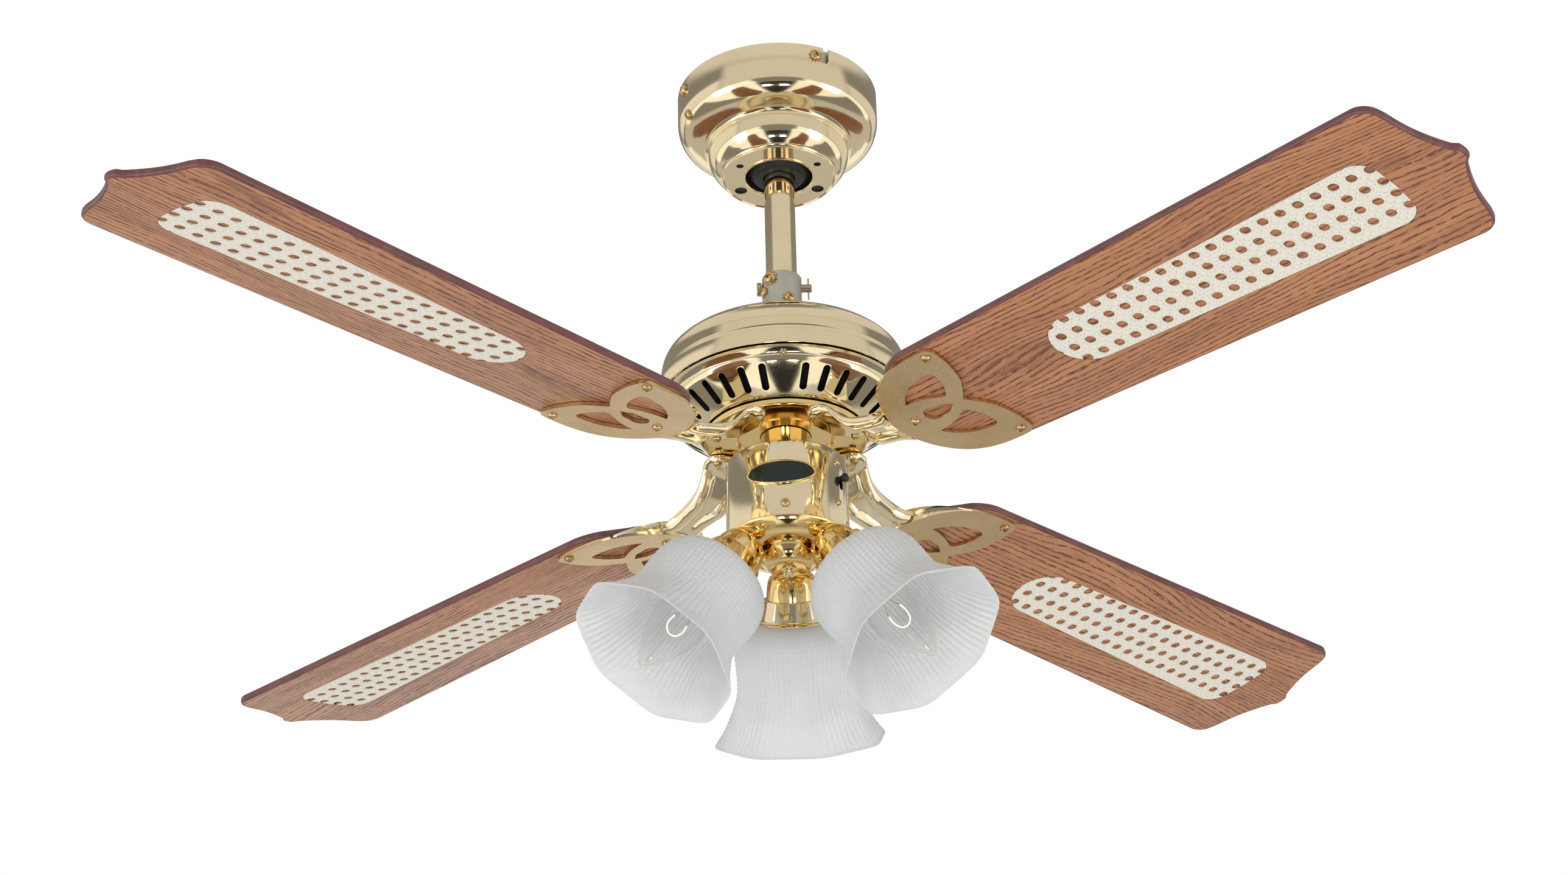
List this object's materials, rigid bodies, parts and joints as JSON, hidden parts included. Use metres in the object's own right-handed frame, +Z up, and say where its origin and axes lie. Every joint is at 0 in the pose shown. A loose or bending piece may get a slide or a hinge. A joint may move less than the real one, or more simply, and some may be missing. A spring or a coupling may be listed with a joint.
{
  "type": "ceiling fan with light",
  "caption": "Ceiling fan with light: wooden blades with cane inlays on leaf-shaped brass arms, a vented motor on a short down rod, and frosted bell shades on slanted lamp holders.",
  "frame": {"origin": "on the fan's axis, in the plane of the ceiling, where the bracket's top face lies", "axes": "+Z up into the ceiling, -Y towards the front with the oval plaque, +X to the right"},
  "size_m": [0.8038, 0.8038, 0.4719],
  "materials": {
    "polished_brass": "polished",
    "satin_brass": "satin",
    "zinc_steel": "zinc-plated, dull",
    "black_plastic": "matte",
    "oak_veneer": "varnished oak veneer",
    "woven_cane": "woven cane under clear varnish",
    "frosted_glass": "frosted, pressed hobnail pattern",
    "clear_glass": "clear",
    "copper_winding": "enamelled copper wire",
    "laminated_iron": "dark, oiled",
    "white_plastic": "glazed, white"
  },
  "bodies": {
    "ceiling_mount": {"hanger_bracket": "zinc_steel", "ball_seat": "black_plastic", "canopy": "polished_brass", "canopy_screw_front": "polished_brass", "canopy_screw_right": "polished_brass", "canopy_screw_back": "polished_brass", "canopy_screw_left": "polished_brass", "terminal_block": "white_plastic"},
    "tilt_pin": {"hanger_pin": "zinc_steel"},
    "hanging": {"coupling_collar": "zinc_steel", "coupling_pin": "zinc_steel", "pin_clip": "zinc_steel", "motor_shaft": "zinc_steel", "upper_bearing": "zinc_steel", "lower_bearing": "zinc_steel", "hanger_ball": "black_plastic", "reverse_switch_body": "black_plastic", "capacitor": "black_plastic", "badge": "black_plastic", "downrod": "polished_brass", "set_screw_upper": "polished_brass", "set_screw_lower": "polished_brass", "motor_cover": "polished_brass", "vent_ring": "polished_brass", "switch_mount": "polished_brass", "switch_housing": "polished_brass", "light_pan": "polished_brass", "light_hub": "polished_brass", "finial": "polished_brass", "lamp_cup_1": "polished_brass", "lamp_cup_2": "polished_brass", "lamp_cup_3": "polished_brass", "lamp_socket_1": "white_plastic", "lamp_socket_2": "white_plastic", "lamp_socket_3": "white_plastic", "stator_core": "laminated_iron", "winding_upper": "copper_winding", "winding_lower": "copper_winding", "bulb_1": "clear_glass", "bulb_2": "clear_glass", "bulb_3": "clear_glass", "shade_1": "frosted_glass", "shade_2": "frosted_glass", "shade_3": "frosted_glass"},
    "rotor": {"rotor_case": "laminated_iron", "rotor_flange": "polished_brass", "blade_1": "oak_veneer", "blade_2": "oak_veneer", "blade_3": "oak_veneer", "blade_4": "oak_veneer", "cane_inlay_1": "woven_cane", "cane_inlay_2": "woven_cane", "cane_inlay_3": "woven_cane", "cane_inlay_4": "woven_cane", "blade_arm_1": "satin_brass", "blade_arm_2": "satin_brass", "blade_arm_3": "satin_brass", "blade_arm_4": "satin_brass"},
    "reverse_switch": {"reverse_knob": "black_plastic"}
  },
  "joints": [
    {"name": "tilt_x", "type": "hinge", "parent": "ceiling_mount", "child": "tilt_pin", "pos_m": [0, 0, -0.045], "axis": [1, 0, 0], "range_deg": [-20, 20]},
    {"name": "tilt_y", "type": "hinge", "parent": "tilt_pin", "child": "hanging", "pos_m": [0, 0, -0.045], "axis": [0, 1, 0], "range_deg": [-20, 20]},
    {"name": "rotor_spin", "type": "hinge", "parent": "hanging", "child": "rotor", "pos_m": [0, 0, -0.295], "axis": [0, 0, 1], "continuous": true},
    {"name": "reverse_switch_slide", "type": "slide", "parent": "hanging", "child": "reverse_switch", "axis": [0, 0, -1], "range_m": [0, 0.006]}
  ]
}
